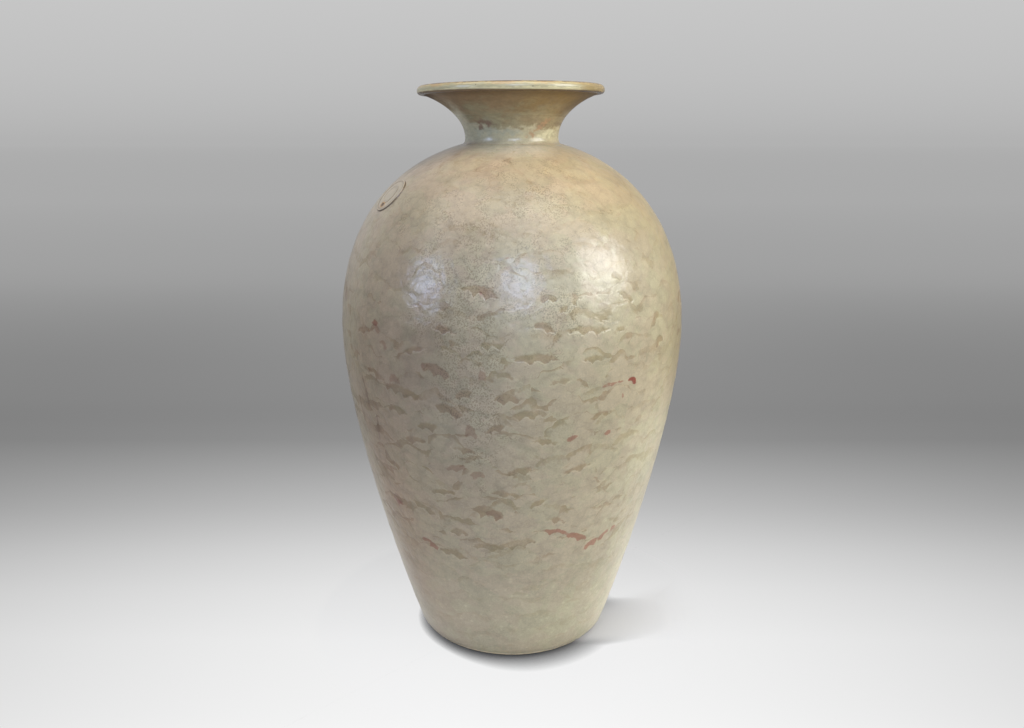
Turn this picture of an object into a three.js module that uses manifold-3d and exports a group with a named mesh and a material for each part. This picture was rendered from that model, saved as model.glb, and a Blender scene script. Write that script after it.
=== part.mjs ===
// Tapered vase: a wheel-thrown stoneware flower vase with a flared mouth, glazed inside and out.
// It is thrown in sections, luted together with slip, and carries a small round seal on its shoulder.
// Millimetres, +Z up. The origin is the centre of the foot, and the front of the vase looks along -Y.
import * as THREE from 'three';
import { mergeVertices } from 'three/addons/utils/BufferGeometryUtils.js';
import Module from 'manifold-3d';

// Overall outline
const vaseHeight = 380;
const footRadius = 69;            // widest of the rounded foot edge
const footEdgeRadius = 14;
const taper = 20;                 // degrees that the wall leans out above the foot
const taperHandle = 17;           // how far the wall keeps that lean
const bellyRadius = 116;
const bellyHeight = 222;
const bellyHandleBelow = 67;      // how slowly the belly draws in towards the foot
const bellyHandleAbove = 49.5;    // and towards the shoulder
const shoulderSlope = 16;         // degrees below level where the shoulder meets the neck's root
const shoulderHandle = 66;

// Neck and mouth
const neckLength = 31;            // from the root up to the underside of the lip
const waistRadius = 30.7;
const rootSpread = 1.8;           // of the root beyond the waist
const waistRise = 4.3;            // the waist above the root
const waistHandle = 10;
const flareSpread = 26;           // beyond the waist, where the flare runs in under the lip
const flareAngle = 20;            // degrees above level at that edge
const flareHandle = 17;
const lipOverhang = 4.3;          // of the lip beyond the flare
const lipThickness = 5.7;
const lipEdgeTop = 3.2;           // radius of the lip's upper edge
const lipBand = 0.4;              // upright between it and the lower edge
const lipSlopeStart = 0.5;        // where the lip's inner slope starts, above its underside

// Clay
const floorTop = 12;              // inside floor above the table
const footRecess = 2.5;           // turned hollow under the foot
const footRingWidth = 9;
const wallAtFoot = 8;
const wallAtBelly = 6.5;
const wallAtRoot = 6;
const neckWall = 5;

// Luted joints: a tongue on the lower section stands in a groove of the upper one, in slip
const slipGap = 0.3;
const tongueWidth = 2.4;
const tongueTip = 1.4;
const tongueHeight = 2;
const rootCoilReach = 3.2;        // how far the neck's outer coil runs out over the shoulder
const floorCoilSize = 7;
const bellyCoilHeight = 14;
const bellyCoilBulge = 2.6;
const coilHollowOut = 1;          // how near the floor coil's face is pulled to the wall
const coilHollowUp = 1.5;         // and to the floor

// Round seal on the shoulder, with two raised rings and no lettering
const sealDiameter = 25.4;
const sealDrop = 31.4;            // of its centre below the neck's root
const sealTurn = -64;             // degrees round from the front, towards -X
const sealThickness = 1.1;
const sealRingProud = 0.5;
const sealBorderWidth = 1.2;
const sealInnerRing = 13.4;       // outer diameter of the inner ring
const sealInnerRingWidth = 0.9;

// Fineness of the meshes
const turnSegments = 48;
const outlineStep = 22;           // mm between rings on the long walls
const shoulderStep = 16.5;
const neckStep = 6;
const footStep = 4;
const sealStep = 3;
const sealSegments = 32;
const lipCornerPoints = 4;
const coilPoints = 4;
const bodyCurvePoints = 160;      // of the outlines that those rings are taken from
const flareCurvePoints = 120;
const footCurvePoints = 24;
const filletPoints = 24;
const filletRings = 6;

const rad = THREE.MathUtils.degToRad;
const point = (radius, height) => new THREE.Vector2(radius, height);
const lipBottom = vaseHeight - lipThickness;
const lipEdgeBottom = lipThickness - lipEdgeTop - lipBand;
const rootRadius = waistRadius + rootSpread;
const flareRadius = waistRadius + flareSpread;
const lipRadius = flareRadius + lipOverhang;
const rootHeight = lipBottom - neckLength;
const throatRadius = waistRadius - neckWall;
const sealHeight = rootHeight - sealDrop;

const wasm = await Module();
wasm.setup();

// Outlines, as lists of (radius, height) points that run upwards

function footEdge() {
  const points = [];
  const centre = point(footRadius - footEdgeRadius, footEdgeRadius);
  for (let i = 0; i <= footCurvePoints; i++) {
    const angle = rad((90 - taper) * i / footCurvePoints - 90);
    points.push(point(Math.cos(angle), Math.sin(angle)).multiplyScalar(footEdgeRadius).add(centre));
  }
  return points;
}

function bodyOutline() {
  const foot = footEdge();
  const start = foot[foot.length - 1];
  const lean = point(Math.sin(rad(taper)), Math.cos(rad(taper)));
  const belly = point(bellyRadius, bellyHeight);
  const root = point(rootRadius, rootHeight);
  const slope = point(Math.cos(rad(shoulderSlope)), -Math.sin(rad(shoulderSlope)));
  const lower = new THREE.CubicBezierCurve(
    start,
    start.clone().addScaledVector(lean, taperHandle),
    point(bellyRadius, bellyHeight - bellyHandleBelow),
    belly,
  );
  const upper = new THREE.CubicBezierCurve(
    belly,
    point(bellyRadius, bellyHeight + bellyHandleAbove),
    root.clone().addScaledVector(slope, shoulderHandle),
    root,
  );
  const wall = lower.getPoints(bodyCurvePoints);
  const shoulder = upper.getPoints(bodyCurvePoints);
  return [...foot, ...wall.slice(1), ...shoulder.slice(1)];
}

function rootFillet() {
  const corner = point(waistRadius, rootHeight + (rootRadius - waistRadius) * Math.tan(rad(shoulderSlope)));
  const waist = point(waistRadius, rootHeight + waistRise);
  return new THREE.QuadraticBezierCurve(point(rootRadius, rootHeight), corner, waist).getPoints(filletPoints);
}

function flareOutline() {
  const edge = point(flareRadius, lipBottom);
  const rise = point(Math.cos(rad(flareAngle)), Math.sin(rad(flareAngle)));
  return new THREE.CubicBezierCurve(
    point(waistRadius, rootHeight + waistRise),
    point(waistRadius, rootHeight + waistRise + waistHandle),
    edge.clone().addScaledVector(rise, -flareHandle),
    edge,
  ).getPoints(flareCurvePoints);
}

// Moves each point of an outline to its right, which is inwards on an outline that runs up the outside
function offset(points, distanceAt) {
  return points.map((p, i) => {
    const before = points[Math.max(i - 1, 0)];
    const after = points[Math.min(i + 1, points.length - 1)];
    const along = after.clone().sub(before).normalize();
    const inwards = point(-along.y, along.x);
    return p.clone().addScaledVector(inwards, distanceAt(p.y));
  });
}

function radiusAt(points, height) {
  const i = Math.max(1, points.findIndex((p, k) => k > 0 && p.y >= height));
  const [a, b] = [points[i - 1], points[i]];
  return a.x + (b.x - a.x) * (height - a.y) / (b.y - a.y);
}

function heightAt(points, radius) {
  const i = points.findIndex((p, k) => k > 0 && (p.x - radius) * (points[k - 1].x - radius) <= 0);
  const [a, b] = [points[i - 1], points[i]];
  return a.y + (b.y - a.y) * (radius - a.x) / (b.x - a.x);
}

// The stretch of an outline between two heights, resampled at about the given step
function stretch(points, low, high, step) {
  const inside = points.filter((p) => p.y > low + 1e-6 && p.y < high - 1e-6);
  const path = [point(radiusAt(points, low), low), ...inside, point(radiusAt(points, high), high)];
  const lengths = [0];
  for (let i = 1; i < path.length; i++) lengths.push(lengths[i - 1] + path[i].distanceTo(path[i - 1]));
  const total = lengths[lengths.length - 1];
  const count = Math.max(2, Math.round(total / step));
  const sampled = [path[0]];
  for (let n = 1, i = 1; n < count; n++) {
    const wanted = total * n / count;
    while (lengths[i] < wanted) i++;
    const share = (wanted - lengths[i - 1]) / (lengths[i] - lengths[i - 1]);
    sampled.push(path[i - 1].clone().lerp(path[i], share));
  }
  return [...sampled, path[path.length - 1]];
}

function wallAt(height) {
  if (height < bellyHeight) {
    return THREE.MathUtils.mapLinear(height, 0, bellyHeight, wallAtFoot, wallAtBelly);
  }
  return THREE.MathUtils.mapLinear(height, bellyHeight, rootHeight, wallAtBelly, wallAtRoot);
}

const outside = bodyOutline();
const inside = offset(outside, wallAt);
const flareOutside = flareOutline();
const flareInside = offset(flareOutside, () => neckWall);
const seatRadius = rootRadius + rootCoilReach;
const neckSeat = heightAt(outside.filter((p) => p.y > bellyHeight), seatRadius);
const mouthRadius = radiusAt(flareInside, lipBottom);

// A tongue or its groove, as points that run inwards across a level rim
function tongue(outerRadius, innerRadius, height, clearance = 0) {
  const middle = (outerRadius + innerRadius) / 2;
  const base = tongueWidth / 2 + clearance;
  const tip = tongueTip / 2 + clearance;
  const top = height + tongueHeight + clearance;
  return [
    point(middle + base, height),
    point(middle + tip, top),
    point(middle - tip, top),
    point(middle - base, height),
  ];
}

function turned(profile) {
  const closed = [...profile, profile[0].clone()].map((p) => point(Math.max(p.x, 0), p.y));
  return new THREE.LatheGeometry(closed, turnSegments).rotateX(Math.PI / 2);
}

// Closed meshes as manifold solids and back, for the cuts on the seal

function solidOf(geometry) {
  const bare = geometry.index ? geometry.toNonIndexed() : geometry.clone();
  bare.deleteAttribute('normal');
  bare.deleteAttribute('uv');
  const merged = mergeVertices(bare, 1e-4);
  return new wasm.Manifold(new wasm.Mesh({
    numProp: 3,
    vertProperties: merged.attributes.position.array,
    triVerts: new Uint32Array(merged.index.array),
  }));
}

function geometryOf(solid) {
  const mesh = solid.getMesh();
  const geometry = new THREE.BufferGeometry();
  geometry.setAttribute('position', new THREE.BufferAttribute(new Float32Array(mesh.vertProperties), 3));
  geometry.setIndex(new THREE.BufferAttribute(new Uint32Array(mesh.triVerts), 1));
  geometry.computeVertexNormals();
  return geometry;
}

// Sections of the vase, from the table up

function footSlab() {
  const rim = radiusAt(outside, floorTop);
  const inner = radiusAt(inside, floorTop);
  const contact = footRadius - footEdgeRadius;
  return turned([
    point(0, footRecess),
    point(contact - footRingWidth, footRecess),
    point(contact - footRingWidth, 0),
    ...stretch(outside, 0, floorTop, footStep),
    ...tongue(rim, inner, floorTop),
    point(0, floorTop),
  ]);
}

function lowerWall() {
  const outer = stretch(outside, floorTop, bellyHeight, outlineStep);
  const inner = stretch(inside, floorTop, bellyHeight, outlineStep).reverse();
  const groove = tongue(outer[0].x, inner[inner.length - 1].x, floorTop, slipGap);
  return turned([
    ...outer,
    ...tongue(bellyRadius, inner[0].x, bellyHeight),
    ...inner,
    ...groove.reverse(),
  ]);
}

function shoulderDome() {
  const outer = stretch(outside, bellyHeight, neckSeat, shoulderStep);
  const end = inside[inside.length - 1];
  const throatEdge = point(throatRadius, end.y + (end.x - throatRadius) * Math.tan(rad(shoulderSlope)));
  const inner = stretch(inside, bellyHeight, end.y, shoulderStep).reverse();
  return turned([
    ...outer,
    ...tongue(waistRadius, throatRadius, neckSeat),
    point(throatRadius, neckSeat),
    throatEdge,
    ...inner,
    ...tongue(bellyRadius, inner[inner.length - 1].x, bellyHeight, slipGap).reverse(),
  ]);
}

// The coil smoothed into the corner between neck and shoulder, which makes the bright ring there
function neckRootCoil() {
  const against = waistRadius + slipGap;
  const every = filletPoints / filletRings;
  const fillet = rootFillet().filter((p, i) => i % every === 0 && p.x > against + slipGap);
  const top = rootHeight + waistRise;
  return turned([
    point(against, neckSeat),
    point(seatRadius, neckSeat),
    ...fillet,
    point(against + slipGap / 2, top - slipGap),
    point(against, top),
  ]);
}

function flaredNeck() {
  const outer = stretch(flareOutside, rootHeight + waistRise, lipBottom, neckStep);
  const inner = stretch(flareInside, rootHeight + waistRise, lipBottom, neckStep).reverse();
  return turned([
    point(waistRadius, neckSeat),
    ...outer,
    ...tongue(flareRadius, mouthRadius, lipBottom),
    ...inner,
    point(throatRadius, neckSeat),
    ...tongue(waistRadius, throatRadius, neckSeat, slipGap).reverse(),
  ]);
}

function lipCorner(radius, centreHeight, from, to) {
  const curve = new THREE.EllipseCurve(lipRadius - radius, centreHeight, radius, radius, rad(from), rad(to));
  return curve.getPoints(lipCornerPoints);
}

function lipRing() {
  const inner = flareInside.filter((p) => p.y > lipBottom + lipSlopeStart);
  const slope = [inner[inner.length - 1], inner[Math.floor(inner.length / 2)]];
  return turned([
    point(mouthRadius, lipBottom),
    ...tongue(flareRadius, mouthRadius, lipBottom, slipGap).reverse(),
    ...lipCorner(lipEdgeBottom, lipBottom + lipEdgeBottom, -90, 0),
    ...lipCorner(lipEdgeTop, vaseHeight - lipEdgeTop, 0, 90),
    ...slope,
  ]);
}

// Reinforcing coils, pressed along the joints on the inside

function floorCoil() {
  const corner = radiusAt(inside, floorTop) - slipGap;
  const top = floorTop + floorCoilSize;
  const upper = point(radiusAt(inside, top) - slipGap, top);
  const lower = point(corner - floorCoilSize, floorTop);
  const hollow = point(corner - coilHollowOut, floorTop + coilHollowUp);
  const face = new THREE.QuadraticBezierCurve(upper, hollow, lower).getPoints(coilPoints);
  return turned([point(corner, floorTop), ...face]);
}

function bellyCoil() {
  const low = bellyHeight - bellyCoilHeight / 2;
  const high = bellyHeight + bellyCoilHeight / 2;
  const back = stretch(inside, low, high, bellyCoilHeight / 2).map((p) => point(p.x - slipGap, p.y));
  const [bottom, top] = [back[0], back[back.length - 1]];
  const crown = point(bottom.x - 2 * bellyCoilBulge, bellyHeight);
  const face = new THREE.QuadraticBezierCurve(top, crown, bottom).getPoints(coilPoints + 2);
  return turned([...back, ...face.slice(1, -1)]);
}

// The seal: clay between two offsets of the shoulder, trimmed by cylinders that stand square to it

function shoulderShell(from, to) {
  const reach = sealDiameter;
  const near = outside.filter((p) => Math.abs(p.y - sealHeight) < reach);
  const wall = stretch(near, near[0].y, near[near.length - 1].y, sealStep);
  const skin = (distance) => offset(wall, () => -distance);
  return solidOf(turned([...skin(to), ...skin(from).reverse()]));
}

// The seal's placement: its origin on the shoulder and its +Z along the surface's normal
function sealPlacement() {
  const near = outside.filter((p) => Math.abs(p.y - sealHeight) < sealDiameter);
  const i = near.findIndex((p) => p.y >= sealHeight);
  const up = near[i + 1].clone().sub(near[i - 1]).normalize();
  const turn = rad(sealTurn) - Math.PI / 2;
  const round = new THREE.Vector3(Math.cos(turn), Math.sin(turn), 0);
  const meridian = new THREE.Vector3(up.x * round.x, up.x * round.y, up.y);
  const parallel = new THREE.Vector3(-round.y, round.x, 0);
  const normal = new THREE.Vector3().crossVectors(parallel, meridian);
  const centre = round.multiplyScalar(radiusAt(near, sealHeight)).setZ(sealHeight);
  return new THREE.Matrix4().makeBasis(parallel, meridian, normal).setPosition(centre);
}

function sealCylinder(diameter) {
  const cylinder = new THREE.CylinderGeometry(diameter / 2, diameter / 2, sealDiameter, sealSegments);
  return solidOf(cylinder.rotateX(Math.PI / 2).applyMatrix4(sealPlacement()));
}

function ringOnSeal(diameter, width) {
  const ring = sealCylinder(diameter).subtract(sealCylinder(diameter - 2 * width));
  return ring.intersect(shoulderShell(slipGap, slipGap + sealThickness + sealRingProud));
}

function shoulderSeal() {
  const disc = sealCylinder(sealDiameter).intersect(shoulderShell(slipGap, slipGap + sealThickness));
  const border = ringOnSeal(sealDiameter, sealBorderWidth);
  const inner = ringOnSeal(sealInnerRing, sealInnerRingWidth);
  return geometryOf(disc.add(border).add(inner));
}

const finish = (color, roughness) => new THREE.MeshStandardMaterial({ color, roughness, metalness: 0 });
const bodyGlaze = finish(0xb3a88c, 0.4);
const neckGlaze = finish(0x9c9074, 0.3);
const lipGlaze = finish(0xc4b791, 0.3);
const liningGlaze = finish(0xa39a80, 0.35);
const bareClay = finish(0xa9896a, 0.9);
const sealGlaze = finish(0xb8ad98, 0.35);

const pieces = [
  ['foot_slab', footSlab(), bareClay],
  ['lower_wall', lowerWall(), bodyGlaze],
  ['shoulder_dome', shoulderDome(), bodyGlaze],
  ['neck_root_coil', neckRootCoil(), neckGlaze],
  ['flared_neck', flaredNeck(), neckGlaze],
  ['lip_ring', lipRing(), lipGlaze],
  ['floor_joint_coil', floorCoil(), liningGlaze],
  ['belly_joint_coil', bellyCoil(), liningGlaze],
  ['shoulder_seal', shoulderSeal(), sealGlaze],
];

const vase = new THREE.Group();
for (const [name, geometry, material] of pieces) {
  const mesh = new THREE.Mesh(geometry, material);
  mesh.name = name;
  vase.add(mesh);
}

export default vase;
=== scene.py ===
# Tapered stoneware vase with a mottled satin glaze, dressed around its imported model. Metres, +Z up.
import bmesh
import bpy
import math
import random
import numpy as np
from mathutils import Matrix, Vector
from mathutils.geometry import interpolate_bezier


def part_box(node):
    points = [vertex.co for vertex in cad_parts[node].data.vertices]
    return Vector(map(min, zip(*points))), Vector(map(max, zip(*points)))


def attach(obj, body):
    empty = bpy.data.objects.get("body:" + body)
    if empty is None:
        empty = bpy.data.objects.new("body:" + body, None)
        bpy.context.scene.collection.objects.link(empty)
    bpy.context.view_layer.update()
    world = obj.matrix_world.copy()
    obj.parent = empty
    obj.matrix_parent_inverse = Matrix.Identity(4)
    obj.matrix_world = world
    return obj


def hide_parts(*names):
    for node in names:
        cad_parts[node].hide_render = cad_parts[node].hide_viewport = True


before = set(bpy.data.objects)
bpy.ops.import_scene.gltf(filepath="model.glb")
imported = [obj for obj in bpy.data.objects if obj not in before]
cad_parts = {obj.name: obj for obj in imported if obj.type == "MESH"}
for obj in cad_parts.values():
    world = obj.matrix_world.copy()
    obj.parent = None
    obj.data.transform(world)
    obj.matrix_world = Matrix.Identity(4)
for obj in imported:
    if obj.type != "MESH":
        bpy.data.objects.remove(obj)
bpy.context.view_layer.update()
scene = bpy.context.scene
print("frame loaded:", ", ".join(sorted(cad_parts)))


# An object in the scene, at the origin and unturned
def placed(name, data):
    made = bpy.data.objects.new(name, data)
    scene.collection.objects.link(made)
    return made


# Camera

camera = {
    "back": 0.6147,       # how far it stands in front of the vase's axis
    "height": 0.3464,
    "pitch": 14.05,       # degrees down
    "lens": 31.64,
    "clipStart": 0.01,
}


def makeCamera():
    data = bpy.data.cameras.new("camera")
    data.lens = camera["lens"]
    data.clip_start = camera["clipStart"]
    made = placed("camera", data)
    made.location = (0, -camera["back"], camera["height"])
    made.rotation_euler = (math.radians(90 - camera["pitch"]), 0, 0)
    scene.camera = made


makeCamera()


# Outline of the vase, as (radius, height) points that run upwards

tolerance = 1e-7
wall = {
    "footRadius": 0.069,
    "footEdge": 0.014,          # radius of the foot's rounded edge
    "footRecess": 0.0025,
    "footRing": 0.009,          # how wide the ring is that the vase stands on
    "footSoft": 0.0008,         # radius of its inner edges
    "taper": 20,                # degrees that the wall leans out above the foot
    "taperHandle": 0.017,       # handles of the curves, longer for a fuller shape
    "bellyHandleBelow": 0.067,
    "bellyHandleAbove": 0.0495,
    "shoulderSlope": 16,        # degrees, where the shoulder meets the neck
    "shoulderHandle": 0.066,
    "atFoot": 0.008,            # thickness
    "atBelly": 0.0065,
    "atRoot": 0.006,
    "edgePoints": 40,
    "curvePoints": 400,
}
neck = {
    "waistRadius": 0.0307,
    "rootSpread": 0.0018,       # how far the coil at the root spreads out
    "coilOverlap": 0.0005,      # and how far it reaches into the neck's wall
    "waistRise": 0.0043,
    "waistHandle": 0.010,
    "flareAngle": 20,           # degrees above level, where the flare meets the lip
    "flareHandle": 0.017,
    "wall": 0.005,
    "lipEdgeTop": 0.0032,       # radii of the lip's edges
    "lipEdgeBottom": 0.0021,
    "lipInsideFrom": 0.0003,    # above the lip's bottom, where its inner face begins
    "lipTopHandle": (-0.0015, 0),              # of the curve from its top to its inner face
    "lipInsideHandle": (0.0004, 0.0002),
    "lipPoints": (10, 16, 6),   # on its lower edge, its upper edge and that curve
    "lipEvery": 6,              # the inner face takes every sixth point of the neck's inner outline
    "filletPoints": 24,
    "flarePoints": 200,
}

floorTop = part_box("lower_wall")[0].z
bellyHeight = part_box("shoulder_dome")[0].z
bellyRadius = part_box("lower_wall")[1].x
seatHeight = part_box("neck_root_coil")[0].z
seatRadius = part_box("neck_root_coil")[1].x
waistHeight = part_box("neck_root_coil")[1].z
rootHeight = waistHeight - neck["waistRise"]
rootRadius = neck["waistRadius"] + neck["rootSpread"]
throatRadius = neck["waistRadius"] - neck["wall"]
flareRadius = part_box("flared_neck")[1].x
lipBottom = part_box("lip_ring")[0].z
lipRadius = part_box("lip_ring")[1].x
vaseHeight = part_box("lip_ring")[1].z


def curve(start, startHandle, endHandle, end, count):
    knots = [Vector((*p, 0)) for p in (start, startHandle, endHandle, end)]
    return [Vector((p.x, p.y)) for p in interpolate_bezier(*knots, count)]


def arc(centre, radius, start, end, count):
    turns = [math.radians(start + (end - start) * i / (count - 1)) for i in range(count)]
    return [Vector((centre[0] + radius * math.cos(t), centre[1] + radius * math.sin(t))) for t in turns]


def bodyOutline():
    foot = arc((wall["footRadius"] - wall["footEdge"], wall["footEdge"]), wall["footEdge"],
               -90, -wall["taper"], wall["edgePoints"])
    lean = math.radians(wall["taper"])
    slope = math.radians(wall["shoulderSlope"])
    start = foot[-1]
    belly = Vector((bellyRadius, bellyHeight))
    root = Vector((rootRadius, rootHeight))
    lower = curve(start, start + wall["taperHandle"] * Vector((math.sin(lean), math.cos(lean))),
                  belly - Vector((0, wall["bellyHandleBelow"])), belly, wall["curvePoints"])
    upper = curve(belly, belly + Vector((0, wall["bellyHandleAbove"])),
                  root + wall["shoulderHandle"] * Vector((math.cos(slope), -math.sin(slope))), root,
                  wall["curvePoints"])
    return foot + lower[1:] + upper[1:]


def neckOutline():
    slope = math.tan(math.radians(wall["shoulderSlope"]))
    corner = Vector((neck["waistRadius"], rootHeight + neck["rootSpread"] * slope))
    root, waist = Vector((rootRadius, rootHeight)), Vector((neck["waistRadius"], waistHeight))
    fillet = curve(root, root.lerp(corner, 2 / 3), waist.lerp(corner, 2 / 3), waist, neck["filletPoints"])
    rise = math.radians(neck["flareAngle"])
    edge = Vector((flareRadius, lipBottom))
    flare = curve(waist, waist + Vector((0, neck["waistHandle"])),
                  edge - neck["flareHandle"] * Vector((math.cos(rise), math.sin(rise))), edge,
                  neck["flarePoints"])
    return fillet, flare


def insideOf(points, thickness):
    inner = []
    for i, p in enumerate(points):
        along = (points[min(i + 1, len(points) - 1)] - points[max(i - 1, 0)]).normalized()
        inner.append(p + thickness(p.y) * Vector((-along.y, along.x)))
    return inner


def wallAt(height):
    if height < bellyHeight:
        return wall["atFoot"] + (wall["atBelly"] - wall["atFoot"]) * height / bellyHeight
    share = (height - bellyHeight) / (rootHeight - bellyHeight)
    return wall["atBelly"] + (wall["atRoot"] - wall["atBelly"]) * share


def radiusAt(points, height):
    if height <= points[0].y:
        return points[0].x
    for a, b in zip(points, points[1:]):
        if a.y <= height <= b.y:
            return a.x + (b.x - a.x) * (height - a.y) / max(b.y - a.y, 0.01 * tolerance)
    return points[-1].x


# The part of an outline between two heights, in even steps
def stretch(points, low, high, step):
    between = [p for p in points if low + tolerance < p.y < high - tolerance]
    path = [Vector((radiusAt(points, low), low)), *between, Vector((radiusAt(points, high), high))]
    lengths = [0.0]
    for a, b in zip(path, path[1:]):
        lengths.append(lengths[-1] + (b - a).length)
    count = max(2, round(lengths[-1] / step))
    sampled = []
    for n in range(count + 1):
        wanted = lengths[-1] * n / count
        i = min(max(1, int(np.searchsorted(lengths, wanted))), len(path) - 1)
        share = (wanted - lengths[i - 1]) / max(lengths[i] - lengths[i - 1], 0.01 * tolerance)
        sampled.append(path[i - 1].lerp(path[i], share))
    return sampled


outside = bodyOutline()
inside = insideOf(outside, wallAt)
fillet, flare = neckOutline()
flareInside = insideOf(flare, lambda height: neck["wall"])
mouthRadius = radiusAt(flareInside, lipBottom)


# Turned pieces

turning = {
    "spinSteps": 64,
    "cuts": 7,                # between each two steps of the spin
    "outerStep": 0.0015,
    "innerStep": 0.008,
    "neckStep": 0.001,
    "sharpFrom": 40,          # degrees
    "ringHeight": 0.00010,    # throwing rings left in the wall
    "ringRise": 0.0029,       # rise of the wall in one radian of a ring
    "ringGroup": 0.017,       # and of a group of rings that fades in and out
    "sway": 0.00030,          # how far the wall wanders from a true circle
    "handsFrom": 0.001,       # height over which the hands' traces begin
    "handsTo": 0.012,
    "handsOutside": 0.02,     # radius that they leave alone, at the floor's middle
    "rimTilt": 0.4,           # degrees that the rim dips towards -X
    "rimShift": -0.0008,      # and how far it stands off the axis
}


def smoothStep(value, low, high):
    share = np.clip((value - low) / (high - low), 0, 1)
    return share * share * (3 - 2 * share)


# Cutting the spin's chords leaves their middles flat, so each ring is made round again
def roundRings(co):
    half = math.pi / turning["spinSteps"]
    away = np.mod(np.arctan2(co[:, 1], co[:, 0]), 2 * half) - half
    co[:, :2] *= (np.cos(away) / math.cos(half))[:, None]


# What the potter's hands leave: faint rings, a slight sway and a rim that isn't quite level
def throwByHand(co):
    x, y, z = co.T.copy()
    turnAt = np.arctan2(x, -y)
    radius = np.maximum(np.hypot(x, y), 10 * tolerance)
    rings = (np.sin(z / turning["ringRise"] + 1.7 * np.sin(turnAt + 30 * z))
             * np.sin(z / turning["ringGroup"] + 0.6))
    sway = 0.6 * np.sin(2 * turnAt + 14 * z) + 0.4 * np.sin(3 * turnAt - 23 * z + 1)
    moved = turning["ringHeight"] * rings + turning["sway"] * sway
    moved *= smoothStep(z, turning["handsFrom"], turning["handsTo"]) * (radius > turning["handsOutside"])
    co[:, 0] += x / radius * moved
    co[:, 1] += y / radius * moved
    atRim = smoothStep(z, rootHeight, lipBottom)
    co[:, 2] += atRim * x * math.tan(math.radians(turning["rimTilt"]))
    co[:, 0] += atRim * turning["rimShift"]


# Whether two neighbouring points lie on one ring
def level(a, b):
    sameHeight = abs(a.co.z - b.co.z) < tolerance
    return sameHeight and abs(a.co.xy.length - b.co.xy.length) < 10 * tolerance


# A profile spun into a mesh, whose rings are then cut finer
def spun(name, profile, steps, cuts=0, closed=True):
    bm = bmesh.new()
    verts = [bm.verts.new((p.x, 0, p.y)) for p in profile]
    ends = verts[1:] + verts[:1] if closed else verts[1:]
    edges = [bm.edges.new(pair) for pair in zip(verts, ends)]
    bmesh.ops.spin(bm, geom=verts + edges, cent=(0, 0, 0), axis=(0, 0, 1), angle=2 * math.pi,
                   steps=steps, use_merge=True)
    bmesh.ops.remove_doubles(bm, verts=bm.verts, dist=tolerance)
    if cuts:
        around = [e for e in bm.edges if level(*e.verts)]
        bmesh.ops.subdivide_edges(bm, edges=around, cuts=cuts, use_grid_fill=True)
    bmesh.ops.recalc_face_normals(bm, faces=bm.faces)
    mesh = bpy.data.meshes.new(name)
    bm.to_mesh(mesh)
    bm.free()
    return mesh


def pointsOf(mesh):
    co = np.empty(len(mesh.vertices) * 3, np.float32)
    mesh.vertices.foreach_get("co", co)
    return co.reshape(-1, 3)


def turned(name, profile, closed=True):
    mesh = spun(name, profile, turning["spinSteps"], turning["cuts"], closed)
    co = pointsOf(mesh)
    roundRings(co)
    throwByHand(co)
    mesh.vertices.foreach_set("co", co.ravel())
    mesh.shade_smooth()
    mesh.set_sharp_from_angle(angle=math.radians(turning["sharpFrom"]))
    return placed(name, mesh)


def standFor(piece, node, material):
    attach(piece, "root")
    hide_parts(node)
    piece.data.materials.clear()
    piece.data.materials.append(material)


def lowerWall():
    outer = stretch(outside, floorTop, bellyHeight, turning["outerStep"])
    inner = stretch(inside, floorTop, bellyHeight, turning["innerStep"])
    return turned("glazed_lower_wall", outer + inner[::-1])


def shoulderDome():
    upper = [p for p in outside if p.y > bellyHeight - 10 * tolerance]
    outer = stretch(upper, bellyHeight, seatHeight, turning["outerStep"])
    end = inside[-1]
    slope = math.tan(math.radians(wall["shoulderSlope"]))
    throatEdge = Vector((throatRadius, end.y + (end.x - throatRadius) * slope))
    inner = stretch(inside, bellyHeight, end.y, turning["innerStep"])
    seat = [Vector((throatRadius, seatHeight)), throatEdge]
    return turned("glazed_shoulder", outer + seat + inner[::-1])


def neckRootCoil():
    face = [Vector((seatRadius, seatHeight)), *fillet]
    backRadius = neck["waistRadius"] - neck["coilOverlap"]
    back = [Vector((backRadius, waistHeight)), Vector((backRadius, seatHeight))]
    return turned("neck_root_coil_glazed", face + back)


def flaredNeck():
    outer = stretch(flare, waistHeight, lipBottom, turning["neckStep"])
    inner = stretch(flareInside, waistHeight, lipBottom, turning["neckStep"] * 1.5)
    bottom = [Vector((throatRadius, seatHeight)), Vector((neck["waistRadius"], seatHeight))]
    return turned("glazed_neck", outer + inner[::-1] + bottom)


def lipRing():
    lowPoints, topPoints, roundPoints = neck["lipPoints"]
    low = arc((lipRadius - neck["lipEdgeBottom"], lipBottom + neck["lipEdgeBottom"]),
              neck["lipEdgeBottom"], -90, 0, lowPoints)
    top = arc((lipRadius - neck["lipEdgeTop"], vaseHeight - neck["lipEdgeTop"]),
              neck["lipEdgeTop"], 0, 90, topPoints)
    inner = [p for p in flareInside if p.y > lipBottom + neck["lipInsideFrom"]][::-1]
    rounded = curve(top[-1], top[-1] + Vector(neck["lipTopHandle"]),
                    inner[0] + Vector(neck["lipInsideHandle"]), inner[0], roundPoints)
    mouth = Vector((mouthRadius, lipBottom))
    seat = Vector((flareRadius, lipBottom))
    return turned("glazed_lip", [seat, *low, *top, *rounded[1:], *inner[1::neck["lipEvery"]], mouth])


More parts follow.
